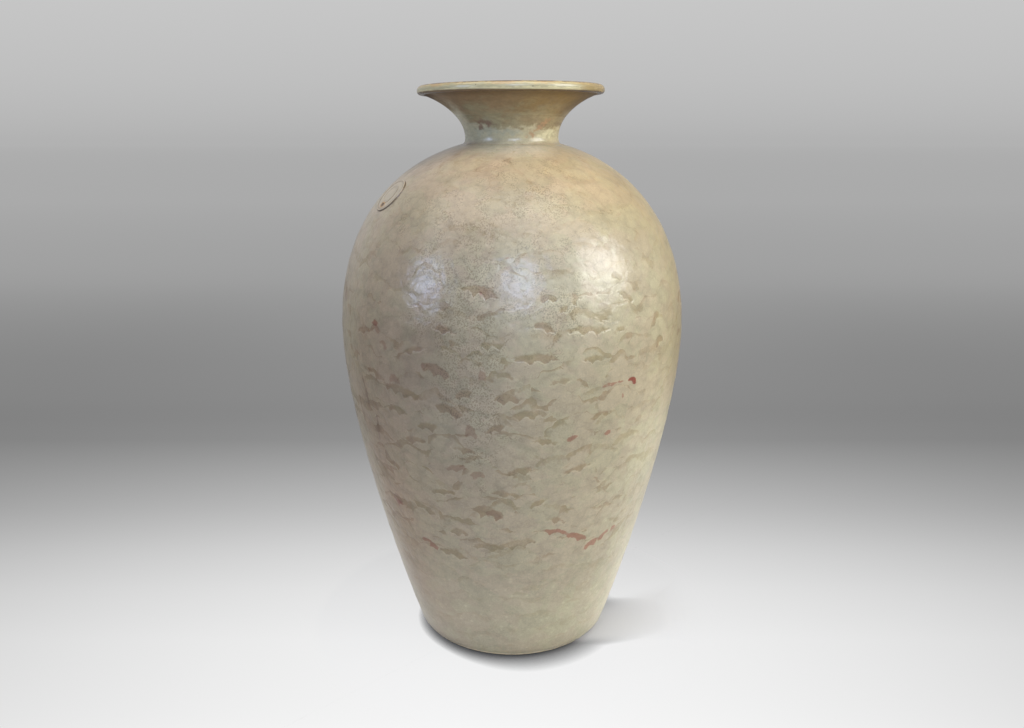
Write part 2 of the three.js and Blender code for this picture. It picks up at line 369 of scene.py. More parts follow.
def footSlab():
    contact = wall["footRadius"] - wall["footEdge"]
    ringInner = contact - wall["footRing"]
    soft = wall["footSoft"]
    ring = [Vector((0, wall["footRecess"])),
            Vector((ringInner * 0.5, wall["footRecess"])),
            *arc((ringInner - soft, wall["footRecess"] - soft), soft, 90, 0, 5),
            *arc((ringInner + soft, soft), soft, 180, 270, 5)]
    outer = stretch(outside, 0, floorTop, turning["neckStep"])
    return turned("turned_foot", ring + outer + [Vector((0, floorTop))], closed=False)


# Materials

# A colour written as it looks on screen, 0 to 255
def tone(red, green, blue):
    def linear(c):
        c /= 255
        return c / 12.92 if c <= 0.04045 else ((c + 0.055) / 1.055) ** 2.4
    return (linear(red), linear(green), linear(blue), 1)


# Short ways to add and join shader nodes
class Tree:
    def __init__(self, owner):
        self.material = owner
        owner.use_nodes = True
        self.tree = owner.node_tree
        self.shader = self.tree.nodes.get("Principled BSDF")
        self.coords = self.add("ShaderNodeTexCoord").outputs["Object"]
        self.mm = self.vector("MULTIPLY", self.coords, (1000, 1000, 1000))
        self.across, _, self.height = self.parts(self.mm)

    def add(self, kind, inputs=None, **settings):
        made = self.tree.nodes.new(kind)
        for key, value in settings.items():
            setattr(made, key, value)
        for key, value in (inputs or {}).items():
            self.put(made.inputs[key], value)
        return made

    def put(self, socket, value):
        if isinstance(value, bpy.types.NodeSocket):
            self.tree.links.new(value, socket)
        else:
            socket.default_value = value

    def math(self, operation, a, b=0.0, clamp=False):
        return self.add("ShaderNodeMath", {0: a, 1: b}, operation=operation, use_clamp=clamp).outputs[0]

    def less(self, a, b):
        return self.math("SUBTRACT", a, b)

    def most(self, a, b):
        return self.math("MAXIMUM", a, b)

    def times(self, *values):
        product = values[0]
        for value in values[1:]:
            product = self.math("MULTIPLY", product, value)
        return product

    def plus(self, *values):
        total = values[0]
        for value in values[1:]:
            total = self.math("ADD", total, value)
        return total

    # A value of 0 to 1 made to swing either side of 0
    def swing(self, value, amount):
        return self.times(self.less(value, 0.5), amount)

    # A smooth step between two values of the input
    def step(self, value, low, high, start=0.0, end=1.0):
        made = self.add("ShaderNodeMapRange", {"Value": value, "From Min": low, "From Max": high,
                                               "To Min": start, "To Max": end},
                        interpolation_type="SMOOTHSTEP")
        return made.outputs[0]

    # 1 where the value is near the middle of a band, 0 beyond its half width
    def band(self, value, middle, halfWidth):
        return self.step(self.math("ABSOLUTE", self.less(value, middle)), halfWidth, 0.0)

    def vector(self, operation, a, b=(0, 0, 0), result="Vector"):
        return self.add("ShaderNodeVectorMath", {0: a, 1: b}, operation=operation).outputs[result]

    def parts(self, vector):
        return self.add("ShaderNodeSeparateXYZ", {0: vector}).outputs

    # Millimetres from the vase's axis
    def fromAxis(self):
        return self.vector("LENGTH", self.vector("MULTIPLY", self.mm, (1, 1, 0)), result="Value")

    def mix(self, factor, a, b, mode="MIX"):
        made = self.add("ShaderNodeMix", data_type="RGBA", blend_type=mode)
        self.put(made.inputs[0], factor)
        self.put(made.inputs[6], a)
        self.put(made.inputs[7], b)
        return made.outputs[2]

    def tinted(self, factor, colour, by):
        return self.mix(factor, colour, by, "MULTIPLY")

    def shaded(self, colour, amount):
        grey = self.add("ShaderNodeCombineColor", {0: amount, 1: amount, 2: amount}).outputs[0]
        return self.tinted(1.0, colour, grey)

    # Noise that changes over about size millimetres
    def noise(self, size, detail=2.0, rough=0.5, at=None):
        return self.add("ShaderNodeTexNoise", {"Vector": at or self.mm, "Scale": 1 / size, "Detail": detail,
                                               "Roughness": rough}).outputs

    # Fine noise either side of 0 that frays an edge
    def nibble(self, size):
        return self.less(self.noise(size, 3, 0.6)[0], 0.5)

    # The same place pushed about by noise, in millimetres
    def warped(self, at, size, amount, detail=2.0):
        push = self.vector("SUBTRACT", self.noise(size, detail, at=at)["Color"], (0.5, 0.5, 0.5))
        scaled = self.add("ShaderNodeVectorMath", {0: push, "Scale": amount * 2}, operation="SCALE")
        return self.vector("ADD", at, scaled.outputs[0])

    def cells(self, at, wide, tall, feature="F1", randomness=1.0):
        place = self.vector("MULTIPLY", at, (1 / wide, 1 / wide, 1 / tall))
        made = self.add("ShaderNodeTexVoronoi", {"Vector": place, "Scale": 1.0, "Randomness": randomness},
                        feature=feature)
        return made.outputs, place

    def split(self, colour):
        return self.add("ShaderNodeSeparateColor", {0: colour}).outputs

    def painted(self, name):
        made = self.add("ShaderNodeAttribute", attribute_name=name).outputs
        return (*self.split(made["Color"]), made["Alpha"])

    # Sets the finish of a piece. Its relief is in millimetres.
    def finished(self, colour, rough, relief):
        self.put(self.shader.inputs["Base Color"], colour)
        self.put(self.shader.inputs["Roughness"], rough)
        bump = self.add("ShaderNodeBump", {"Height": relief, "Strength": 1.0, "Distance": 0.001})
        self.put(self.shader.inputs["Normal"], bump.outputs[0])
        return self.material

    # 1 for the rays that look at the backdrop, straight or by way of gloss and glass
    def looking(self):
        rays = self.add("ShaderNodeLightPath").outputs
        mirrored = self.most(rays["Is Glossy Ray"], rays["Is Transmission Ray"])
        return self.most(rays["Is Camera Ray"], mirrored)


glaze = {
    "islandWide": 17,                       # mm, of a cloud of thick glaze
    "islandTall": 11,
    "blobWide": 7,                          # mm, of the small blobs that scallop every edge
    "blobTall": 5.4,
    "cloudSize": 13,                        # mm, of the mottling, from broad to fine
    "fineSize": 3.2,
    "speckleSize": 0.95,
    "shade": 0.585,                         # lightness of the coat, and what each pattern adds to it
    "islandShade": 0.06,
    "blobShade": 0.08,
    "cloudShade": 0.27,
    "fineShade": 0.22,
    "speckleShade": 0.34,
    "furrowShade": (-0.10, -0.02),          # between the blobs: on the wall, and on its smooth lowest part
    "wallShade": (0.02, -0.025),            # of the whole wall, and of its smooth lowest part
    "crazeWide": 9,                         # mm, of a cell of the crazing
    "crazeTall": 6,
    "dotSize": 3.4,
    "roughness": 0.285,
    "roughThin": 0.06,                      # and how much rougher thin glaze is
    "olive": (0.76, 0.70, 0.58, 1),         # what thin glaze does to the coat's colour
    "brown": (0.75, 0.64, 0.57, 1),
    "mauve": (0.78, 0.635, 0.61, 1),
    "red": (0.78, 0.44, 0.41, 1),
    "deepRed": (0.62, 0.18, 0.15, 1),
    "crack": (0.66, 0.57, 0.49, 1),
    "lace": (0.58, 0.56, 0.53, 1),
    "hair": (0.82, 0.77, 0.69, 1),
    "pale": (1.20, 1.20, 1.19, 1),
    "green": (0.972, 0.995, 0.930, 1),
    "pink": (1.000, 0.976, 0.940, 1),
    "openStrength": 0.92,
    "wildStrength": 0.60,
    "laceStrength": 0.85,
    "rimStrength": 0.48,
    "dotStrength": 0.7,
    "peel": 0.30,                           # mm, depth of the surface's ripples
    "blobHeight": 0.13,                     # mm, how far the small blobs of glaze swell
    "islandHeight": 0.20,
    "smoothRelief": 0.45,                   # share of both that is left on the smooth lowest part
    "thinDepth": 0.12,                      # mm, how far thin places lie below the rest
}
flecks = [  # tint, how ragged its edge is, mm inside its edge where it starts and is full, strength
    ("mauve", 1.0, -0.2, 0.7, 0.85),
    ("red", 0.8, -0.2, 0.6, 0.9),
    ("deepRed", 0.5, -0.1, 0.5, 1.0),
    ("crack", 0.7, -0.3, 0.7, 0.8),
]


# The mottled coat over the whole vase: its colour, its relief in mm, and where it is thin
def mottledCoat(t):
    # The coat's broad colours hold painted light and shade as well as the glaze's own colours
    coat = t.add("ShaderNodeAttribute", attribute_name="coat").outputs["Color"]
    openAt, mauveAt, redAt, below = t.painted("marks")
    laceZone, hairZone, dotZone, wildZone = t.painted("zones")
    crackAt, deepAt, smoothZone, _ = t.painted("accents")

    # Small blobs of glaze make every edge scalloped, and fine noise tears it
    small, _ = t.cells(t.warped(t.mm, 7, 1.8), glaze["blobWide"], glaze["blobTall"])
    nibble = t.nibble(2.8)
    torn = t.plus(t.times(nibble, 2.8), t.times(t.less(small["Distance"], 0.45), 1.7), 0.2)
    loose = t.warped(t.mm, 22, 7)
    clouds = t.noise(glaze["cloudSize"], 4, 0.6, at=loose)
    cloudHues = t.split(clouds["Color"])
    softness = t.plus(t.times(t.less(1.0, below), 1.5), 0.6)
    opened = t.times(t.step(t.math("DIVIDE", t.plus(openAt, torn, 0.3), softness), 0.0, 1.0),
                     t.step(clouds[0], 0.30, 0.55, 0.6, 1.0))

    # Thin crescents over the tops of some islands
    island, place = t.cells(t.warped(loose, 6, 2.0), glaze["islandWide"], glaze["islandTall"],
                            randomness=0.9)
    islandShade = t.split(island["Color"])
    up = t.parts(t.vector("SUBTRACT", place, island["Position"]))[2]
    reach = t.plus(island["Distance"], t.times(torn, 0.05))
    above = t.step(up, 0.10, 0.16)
    rare = t.step(islandShade[0], 0.35, 0.50, 0.2, 1.0)
    wild = t.times(t.step(reach, 0.56, 0.68), above, rare, wildZone)
    arch = t.times(t.band(reach, 0.56, 0.045), above)
    dim = t.times(t.step(reach, 0.50, 0.70), above, 0.35)
    thin = t.most(t.times(opened, glaze["openStrength"]), t.times(wild, glaze["wildStrength"]))

    # Clouds of three sizes, and each island and blob a shade of its own
    speckle = t.noise(glaze["speckleSize"], 1, 0.5)[0]
    fine = t.noise(glaze["fineSize"], 2, 0.6, at=t.warped(t.mm, 3, 0.8))[0]
    lightness = t.plus(t.times(islandShade[1], glaze["islandShade"]),
                       t.times(t.split(small["Color"])[0], glaze["blobShade"]),
                       t.times(clouds[0], glaze["cloudShade"]), t.times(fine, glaze["fineShade"]),
                       glaze["shade"])
    furrow = t.times(t.step(small["Distance"], 0.45, 0.78),
                     t.step(smoothZone, 0.0, 1.0, *glaze["furrowShade"]))
    lightness = t.plus(lightness, t.swing(speckle, glaze["speckleShade"]), furrow,
                       t.step(smoothZone, 0.0, 1.0, *glaze["wallShade"]))
    colour = t.shaded(coat, lightness)
    hue = t.step(t.plus(t.times(islandShade[2], 0.18), t.times(cloudHues[1], 0.82)), 0.44, 0.56)
    colour = t.tinted(1.0, colour, t.mix(hue, glaze["green"], glaze["pink"]))

    # Fine dark worms, hairline crazing and the thin line over each island's arch
    cluster = t.step(t.plus(laceZone, t.swing(clouds[0], 3.0), nibble), 0.15, 1.05)
    worm = t.times(t.step(speckle, 0.47, 0.60), cluster)
    crazing, _ = t.cells(t.warped(t.mm, 4, 2.4, 3), glaze["crazeWide"], glaze["crazeTall"],
                         "DISTANCE_TO_EDGE")
    hair = t.times(t.step(crazing["Distance"], 0.09, 0.0), hairZone,
                   t.step(cloudHues[2], 0.50, 0.60), t.step(fine, 0.40, 0.60))
    colour = t.tinted(t.times(worm, glaze["laceStrength"]), colour, glaze["lace"])
    colour = t.tinted(hair, colour, glaze["hair"])
    colour = t.tinted(t.times(dim, t.step(fine, 0.35, 0.6), 1.6), colour, glaze["hair"])

    # Thin glaze shows the clay's browns, flecks lie in it, and the edge below it stands up pale
    warmth = t.step(t.noise(30, 2)[0], 0.42, 0.60)
    colour = t.tinted(thin, colour, t.mix(warmth, glaze["olive"], glaze["brown"]))
    for (kind, ragged, start, full, strength), at in zip(flecks, (mauveAt, redAt, deepAt, crackAt)):
        share = t.step(t.plus(at, t.times(torn, ragged)), start, full)
        colour = t.tinted(t.times(share, strength), colour, glaze[kind])
    edge = t.times(t.band(t.plus(openAt, torn), -0.8, 0.8), below)
    rim = t.most(edge, t.times(arch, t.step(clouds[0], 0.40, 0.55), 0.6))
    colour = t.tinted(t.times(rim, glaze["rimStrength"]), colour, glaze["pale"])

    # Pale dots
    dots, _ = t.cells(t.mm, glaze["dotSize"], glaze["dotSize"])
    dot = t.times(t.step(dots["Distance"], 0.42, 0.2), t.step(t.split(dots["Color"])[0], 0.45, 0.9),
                  dotZone)
    colour = t.tinted(t.times(dot, glaze["dotStrength"]), colour, glaze["pale"])

    peel = t.times(t.plus(t.noise(6, 1, 0.5)[0], t.times(t.noise(2.4, 2, 0.5)[0], 0.42)), glaze["peel"])
    swell = t.plus(t.times(small["Distance"], small["Distance"], -glaze["blobHeight"]),
                   t.times(reach, reach, -glaze["islandHeight"]))
    relief = t.plus(t.times(t.plus(peel, swell), t.step(smoothZone, 0.0, 1.0, 1.0, glaze["smoothRelief"])),
                    t.times(thin, -glaze["thinDepth"]), t.times(worm, -0.01), t.times(rim, 0.05))
    return colour, relief, thin


def bodyGlaze():
    t = Tree(bpy.data.materials.new("body_glaze"))
    colour, relief, thin = mottledCoat(t)
    return t.finished(colour, t.plus(t.times(thin, glaze["roughThin"]), glaze["roughness"]), relief)


neckCoat = {
    "bodyTo": (342.5, 346.5),                # mm, where the body's coat gives way to the neck's
    "poolTop": 353,                          # mm, where the pale pool at the waist ends
    "brownFrom": 366,                        # mm, where the glaze has run thin under the lip
    "brown": (tone(119, 98, 71), tone(133, 109, 65)),        # each from left to right
    "middle": (tone(130, 123, 95), tone(144, 127, 91)),
    "pool": (tone(160, 154, 126), tone(182, 170, 130)),
    "toRight": (-24, 34),                    # mm across, where left turns to right
    "freckle": tone(128, 108, 80),
    # a pale stripe down the left edge: a painted highlight
    "paintedHighlightLeft": tone(186, 178, 148),
    "paintedHighlightAt": (-0.76, -0.92),            # across, as a share of the radius
    "paintedHighlightEnds": (374, 366),
    "rightEdge": tone(102, 78, 32),
    "rightEdgeAt": (0.70, 0.95),
    "rightEdgeFrom": (356, 368),
    # painted shade at the left edge under the lip, where the finish is also rougher
    "shadeLeftUnderLip": (0.55, 0.47, 0.40, 1),
    "shadeLeftAt": (-0.86, -0.95),
    "shadeLeftFrom": (361, 366),
    # painted shade right under the lip
    "shadeUnderLip": (0.50, 0.43, 0.34, 1),
    "shadeUnderLipFrom": (370.5, 374),
    "salmon": tone(156, 122, 88),
    "mauve": tone(104, 78, 64),
    "cream": tone(196, 186, 146),
    "cool": tone(148, 146, 122),
    "rough": (0.27, 0.45),                   # and rougher under the lip
    "roughFrom": (360, 371),
    "roughLeftUnderLip": 0.3,
}


# Under the lip the glaze has run off and lies thin and brown, and it has pooled at the waist
# Painted shade darkens the neck right under the lip, most at its left edge, and a pale stripe down its left
# edge is a painted highlight.
def neckGlaze():
    t = Tree(bpy.data.materials.new("neck_glaze"))
    body = mottledCoat(t)[0]
    salmonAt, mauveAt, creamAt, coolAt = t.painted("neck")
    flattened = t.vector("MULTIPLY", t.mm, (1, 1, 2.2))
    clouds = t.split(t.noise(15, 4, 0.62, at=t.warped(flattened, 14, 5))["Color"])
    mottle = t.noise(4, 3, 0.6, at=flattened)[0]
    nibble = t.nibble(3.0)
    side = t.step(t.plus(t.across, t.swing(clouds[1], 30)), *neckCoat["toRight"])
    brown, middle, pool = (t.mix(side, *neckCoat[part]) for part in ("brown", "middle", "pool"))
    brownEdge = t.plus(t.height, t.swing(clouds[0], 26), t.times(nibble, 6))
    colour = t.mix(t.step(brownEdge, neckCoat["brownFrom"] - 4, neckCoat["brownFrom"] + 4), middle, brown)
    colour = t.mix(t.step(clouds[2], 0.46, 0.62, 0.0, 0.5), colour, neckCoat["freckle"])
    offAxis = t.math("DIVIDE", t.across, t.fromAxis())
    # A pale stripe down the left edge is a painted highlight
    paintedHighlightLeft = t.times(t.step(offAxis, *neckCoat["paintedHighlightAt"]),
                       t.step(t.plus(brownEdge, nibble), *neckCoat["paintedHighlightEnds"]))
    colour = t.mix(t.times(paintedHighlightLeft, 0.8), colour, neckCoat["paintedHighlightLeft"])
    poolEdge = t.plus(t.height, t.times(nibble, 9), t.swing(clouds[1], 16))
    pooled = t.step(poolEdge, neckCoat["poolTop"] + 2, neckCoat["poolTop"] - 2, 0.0, 0.8)
    colour = t.mix(pooled, colour, pool)
    for at, kind in ((coolAt, "cool"), (creamAt, "cream"), (salmonAt, "salmon"), (mauveAt, "mauve")):
        share = t.step(t.plus(at, t.times(nibble, 6), t.swing(mottle, 4)), -0.8, 1.6)
        colour = t.mix(t.times(share, 0.75), colour, neckCoat[kind])
    colour = t.mix(t.step(t.plus(t.height, t.times(nibble, 2)), *neckCoat["bodyTo"]), body, colour)
    # Painted shade right under the lip
    colour = t.tinted(t.step(t.height, *neckCoat["shadeUnderLipFrom"], 0.0, 0.65), colour, neckCoat["shadeUnderLip"])
    goldEdge = t.times(t.step(offAxis, *neckCoat["rightEdgeAt"]),
                       t.step(brownEdge, *neckCoat["rightEdgeFrom"]))
    colour = t.mix(t.times(goldEdge, 0.75), colour, neckCoat["rightEdge"])
    # Painted shade at the left edge under the lip, with a rougher finish there
    shadeLeftUnderLip = t.times(t.step(offAxis, *neckCoat["shadeLeftAt"]), t.step(t.height, *neckCoat["shadeLeftFrom"]))
    colour = t.tinted(shadeLeftUnderLip, colour, neckCoat["shadeLeftUnderLip"])
    grain = t.swing(t.noise(1.2, 1)[0], 0.2)
    colour = t.shaded(colour, t.plus(t.step(mottle, 0.3, 0.7, 0.90, 1.09), grain))
    rough = t.plus(t.step(t.height, *neckCoat["roughFrom"], *neckCoat["rough"]),
                   t.times(shadeLeftUnderLip, neckCoat["roughLeftUnderLip"]))
    relief = t.plus(t.times(t.noise(5, 2)[0], 0.22), t.times(t.noise(2, 2)[0], 0.06))
    return t.finished(colour, rough, relief)


lipCoat = {
    "cream": tone(163, 147, 106),
    "warm": tone(161, 137, 98),
    "sage": tone(150, 143, 112),             # a band round the lip's middle
    "sageFrom": (378.6, 377.6),              # mm
    "low": tone(178, 168, 130),
    "lowFrom": (376.6, 375.6),
    "gold": tone(130, 108, 64),
    "goldFrom": (36, 52),                    # mm to the right
    # brown of the worn upper edge, and of the painted shadow below the lip
    "brown": tone(92, 72, 52),
    "shadowLine": (375.3, 374.7),             # mm, a brown line of painted shadow below this
    "shadowLineRise": 0.6,                    # and this much higher on the left
    "riseAt": (-35, 5),
    "shadowLineOutside": (54.5, 56.5),        # mm from the axis
    "wornFrom": (379.0, 379.8),              # worn to brown along the rim's upper edge
    "wornOutside": (56, 58),
    "inside": tone(208, 200, 186),
    "insideFrom": (54, 46),
    "pinhole": tone(86, 74, 54),
    "pinholesEvery": 4.2,                    # mm
    "rough": 0.27,
}


# Glaze thins to brown along the rim's upper edge and rolls up thick above the lower one
def lipGlaze():
    t = Tree(bpy.data.materials.new("lip_glaze"))
    clouds = t.noise(11, 3, 0.6)[0]
    nibble = t.nibble(2.5)
    level = t.less(t.height, t.times(t.across, math.tan(math.radians(turning["rimTilt"]))))
    wavy = t.plus(level, t.times(nibble, 2.2), t.swing(clouds, 3.0))
    colour = t.mix(t.step(clouds, 0.40, 0.60), lipCoat["cream"], lipCoat["warm"])
    colour = t.mix(t.step(wavy, *lipCoat["sageFrom"]), colour, lipCoat["sage"])
    colour = t.mix(t.step(wavy, *lipCoat["lowFrom"]), colour, lipCoat["low"])
    goldAt = t.plus(t.across, t.swing(clouds, 22))
    colour = t.mix(t.step(goldAt, *lipCoat["goldFrom"], 0.0, 0.85), colour, lipCoat["gold"])
    distance = t.fromAxis()
    # Painted shadow: a brown line under the lip's lower edge, a little higher on the left
    line = t.less(level, t.step(t.across, *lipCoat["riseAt"], lipCoat["shadowLineRise"], 0.0))
    lower = t.times(t.step(line, *lipCoat["shadowLine"]), t.step(distance, *lipCoat["shadowLineOutside"]))
    colour = t.mix(t.times(lower, 0.95), colour, lipCoat["brown"])
    worn = t.times(t.step(level, *lipCoat["wornFrom"]), t.step(distance, *lipCoat["wornOutside"]))
    worn = t.times(worn, t.step(t.plus(nibble, t.times(clouds, 0.8)), 0.24, 0.42, 0.3, 0.95))
    colour = t.mix(worn, colour, lipCoat["brown"])
    colour = t.tinted(t.step(distance, *lipCoat["insideFrom"]), colour, lipCoat["inside"])
    pits, _ = t.cells(t.mm, lipCoat["pinholesEvery"], lipCoat["pinholesEvery"])
    pit = t.times(t.step(pits["Distance"], 0.11, 0.05), t.step(t.split(pits["Color"])[0], 0.80, 0.82))
    colour = t.mix(t.times(pit, 0.8), colour, lipCoat["pinhole"])
    streak = t.step(t.noise(6, 3, 0.6, at=t.vector("MULTIPLY", t.mm, (1, 1, 4)))[0], 0.35, 0.65, 0.92, 1.06)
    relief = t.plus(t.times(t.noise(7, 2)[0], 0.2), t.times(pit, -0.2), t.times(t.noise(2, 2)[0], 0.05))
    return t.finished(t.shaded(colour, streak), lipCoat["rough"], relief)


liningCoat = {
    "light": tone(150, 141, 118),
    "dark": tone(128, 118, 97),
    "streak": 26,                            # mm
    "rough": 0.38,
}


# Inside, the glaze was poured: plainer, streaked and a little darker
def liningGlaze():
    t = Tree(bpy.data.materials.new("lining_glaze"))
    clouds = t.noise(liningCoat["streak"], 4, 0.6, at=t.warped(t.mm, 30, 12))[0]
    colour = t.mix(t.step(clouds, 0.35, 0.65), liningCoat["light"], liningCoat["dark"])
    spots, _ = t.cells(t.warped(t.mm, 6, 2), 9, 7)
    colour = t.tinted(t.step(spots["Distance"], 0.5, 0.8, 0.0, 0.5), colour, glaze["olive"])
    relief = t.plus(t.times(t.noise(6, 3)[0], 0.2), t.times(t.noise(2.5, 2)[0], 0.05))
    return t.finished(colour, liningCoat["rough"], relief)


footCoat = {
    "clay": (tone(172, 142, 112), tone(148, 118, 90)),       # between grains, and on them
    "clayEdge": (tone(206, 194, 162), tone(186, 170, 138)),
    "edgeFrom": (59.5, 61.0),                # mm from the axis, where the clay turns pale
    "grit": tone(96, 74, 58),
    "groove": (0.86, 0.83, 0.80, 1),
    "toasted": (0.78, 0.64, 0.52, 1),
    "toastedAt": 58,
    "glazedFrom": (65.1, 65.8),              # and where the glaze starts
    "glazedAbove": (4.8, 5.6),
    "rough": 0.88,
}


# The foot ring is wiped clean: sandy clay with turning rings and a pale line below the glaze
def footGlaze():
    t = Tree(bpy.data.materials.new("foot_glaze"))
    coat, relief, _ = mottledCoat(t)
    distance = t.fromAxis()
    nibble = t.nibble(4)
    sand = t.noise(1.1, 3, 0.7)[0]
    grain = t.step(sand, 0.35, 0.65)
    clay = t.mix(t.step(distance, *footCoat["edgeFrom"]), t.mix(grain, *footCoat["clay"]),
                 t.mix(grain, *footCoat["clayEdge"]))
    grit, _ = t.cells(t.mm, 1.6, 1.6)
    clay = t.mix(t.step(grit["Distance"], 0.16, 0.08, 0.0, 0.7), clay, footCoat["grit"])
    groove = t.math("SINE", t.plus(t.times(distance, 2.9), t.times(nibble, 2.0)))
    clay = t.tinted(t.step(groove, 0.2, 1.0, 0.0, 0.5), clay, footCoat["groove"])
    line = t.plus(distance, t.times(nibble, 1.2))
    glazed = t.most(t.step(line, *footCoat["glazedFrom"]), t.step(t.height, *footCoat["glazedAbove"]))
    bare = t.less(1.0, glazed)
    toasted = t.times(t.band(distance, footCoat["toastedAt"], 2.0), bare)
    clay = t.tinted(toasted, clay, footCoat["toasted"])
    clayRelief = t.plus(t.times(groove, 0.07), t.times(sand, 0.12))
    relief = t.plus(t.times(relief, glazed), t.times(clayRelief, bare), t.times(glazed, 0.25))
    rough = t.step(glazed, 0.0, 1.0, footCoat["rough"], glaze["roughness"])
    return t.finished(t.mix(glazed, clay, coat), rough, relief)


sealCoat = {
    "field": tone(170, 160, 138),
    "ridge": tone(190, 176, 150),
    # glaze pooled in the grooves, and painted shade in the crease round the edge
    "groove": tone(78, 64, 48),
    "stain": tone(158, 120, 72),
    "stainHeart": tone(72, 54, 36),
    "rough": 0.3,
}


# The coat pools dark in the seal's grooves and breaks pale over its ridges. A dark line round its edge is
# painted shade.
def sealGlaze():
    t = Tree(bpy.data.materials.new("seal_glaze"))
    colour, relief, _ = mottledCoat(t)
    groove, ridge, amber, field = t.painted("seal")
    colour = t.mix(t.times(field, 0.5), colour, sealCoat["field"])
    colour = t.mix(t.times(ridge, 0.4), colour, sealCoat["ridge"])
    colour = t.mix(t.times(groove, 0.85), colour, sealCoat["groove"])
    stain = t.plus(amber, t.times(t.nibble(1.6), 0.4))
    colour = t.mix(t.step(stain, 0.25, 0.55), colour, sealCoat["stain"])
    colour = t.mix(t.step(stain, 0.62, 0.85), colour, sealCoat["stainHeart"])
    return t.finished(colour, sealCoat["rough"], t.times(relief, 0.6))


# The coat's broad colours, each a soft patch, partly the glaze's own and partly painted light and shade:
# darker over the left side, lighter over the right, and painted shade on the left shoulder by the neck.
# Each gives turn and height of its middle, how wide and tall, tone, strength

coatBase = (147, 136, 113)
glazeAndShadingPatches = [
    (-40, 195, 110, 120, (124, 110, 91), 0.95),
    (-67, 205, 46, 160, (158, 143, 119), 0.7),
    (-8, 205, 70, 90, (140, 132, 116), 0.7),
    (20, 200, 90, 100, (145, 136, 112), 0.7),
    (62, 200, 90, 150, (163, 151, 122), 0.8),
    (66, 140, 70, 90, (197, 188, 160), 0.85),
    (2, 270, 110, 60, (160, 154, 138), 0.8),
    (45, 262, 90, 60, (161, 151, 125), 0.8),
    (-38, 262, 80, 80, (140, 126, 105), 0.75),
    (-12, 307, 100, 36, (151, 136, 113), 0.7),
    (0, 332, 190, 30, (178, 158, 131), 0.85),
    (42, 308, 60, 36, (165, 150, 119), 0.7),
    (38, 326, 60, 30, (183, 161, 126), 0.6),
    (70, 324, 50, 50, (160, 139, 98), 0.8),
    (-70, 312, 44, 70, (174, 159, 139), 0.8),
    # these two: painted shade on the left shoulder beside the neck
    (-66, 333, 30, 12, (122, 98, 80), 0.35),
    (-90, 333, 34, 20, (74, 54, 46), 0.9),
    (73, 280, 44, 80, (150, 132, 90), 0.7),
    (-2, 307, 60, 22, (146, 132, 102), 0.5),
    (72, 212, 44, 60, (140, 122, 88), 0.6),
    (-50, 112, 80, 90, (136, 118, 94), 0.75),
    (0, 100, 120, 60, (150, 138, 116), 0.6),
    (45, 100, 110, 80, (157, 148, 123), 0.7),
    (0, 40, 110, 60, (158, 147, 125), 0.8),
    (-45, 35, 110, 50, (165, 152, 127), 0.8),
    (45, 35, 110, 50, (168, 160, 132), 0.85),
    (-68, 60, 50, 110, (186, 170, 144), 0.75),
    (68, 50, 50, 110, (207, 198, 172), 0.85),
    (-31, 222, 54, 50, (114, 101, 85), 0.5),
    (-52, 90, 34, 130, (124, 97, 70), 0.65),
    (-54, 168, 26, 54, (116, 97, 77), 0.5),
    (6, 341, 44, 8, (206, 196, 170), 0.85),
    (74, 20, 30, 30, (222, 213, 190), 0.7),
    (-72, 20, 34, 26, (150, 132, 102), 0.5),
    (20, 255, 26, 44, (180, 171, 149), 0.45),
    (-25, 285, 24, 24, (168, 159, 142), 0.45),
]

# Marks of the glaze: turn from the front, height, width, tallness, lean, in degrees and millimetres

openMarks = [
    (-9.7, 262, 21, 7, -12), (10.5, 258, 13, 5.5, 0), (19, 257, 6, 8, 20), (15, 252, 7, 5, 35),
    (23, 239, 27, 6, -3), (33, 237, 9, 4.5, 20), (9.3, 242, 14, 6, -25), (-6, 232, 14, 5.5, 4),
    (7, 224, 26, 7, 0), (24.3, 222, 13, 5.5, 0), (-35, 199, 30, 8, -10), (-46, 206, 18, 6, -20),
    (-14, 202, 12, 6, 15), (-1.6, 200, 15, 8, 0), (-19, 191, 20, 8, -16), (14, 210, 16, 4.5, 8),
    (5, 190, 22, 7, 4), (-26, 179, 15, 6, 0), (3, 153, 18, 6, 8), (22, 152, 18, 4.5, 12),
    (-8.8, 123, 19, 11, -15), (-20, 106, 12, 7, 0), (-9, 97, 20, 7, -4), (2, 100, 24, 8, 10),
    (-24, 88, 20, 7, -10), (-34, 120, 20, 5.5, -20), (9, 130, 11, 5, 30), (27, 246, 10, 4.5, -20),
    (34, 268, 10, 5, 0), (37, 256, 12, 4.5, -30), (50, 240, 11, 7, 40), (52, 225, 9, 8, 30),
    (-52, 232, 16, 6, 10), (-58, 214, 12, 7, 20), (-30, 226, 15, 5, 15), (-20, 240, 12, 5, -10),
    (-38, 186, 16, 5.5, -8), (-33, 168, 18, 5.5, 6), (-15, 166, 14, 5, -10), (10, 172, 16, 5, -6),
    (28, 186, 14, 5, 10), (-5, 181, 12, 5, 20), (-2, 137, 16, 5, -6), (16, 116, 14, 5, -14),
    (-24, 135, 16, 5, 8), (34, 134, 16, 4.5, 20), (-44, 146, 14, 5, -12), (-2, 214, 11, 5, -10),
]
mauveMarks = [
    (-23, 215, 22, 8, -16), (-8, 214, 6, 7, 40), (-12.5, 177, 8, 12, 8), (-38, 205, 10, 8, 20),
    (-18, 153, 14, 6, 10), (-11, 149, 10, 7, -8), (-46, 234, 9, 6, 0), (-42, 226, 8, 5, -20),
    (-6, 121, 12, 9, -20), (-48, 118, 10, 9, 0),
]
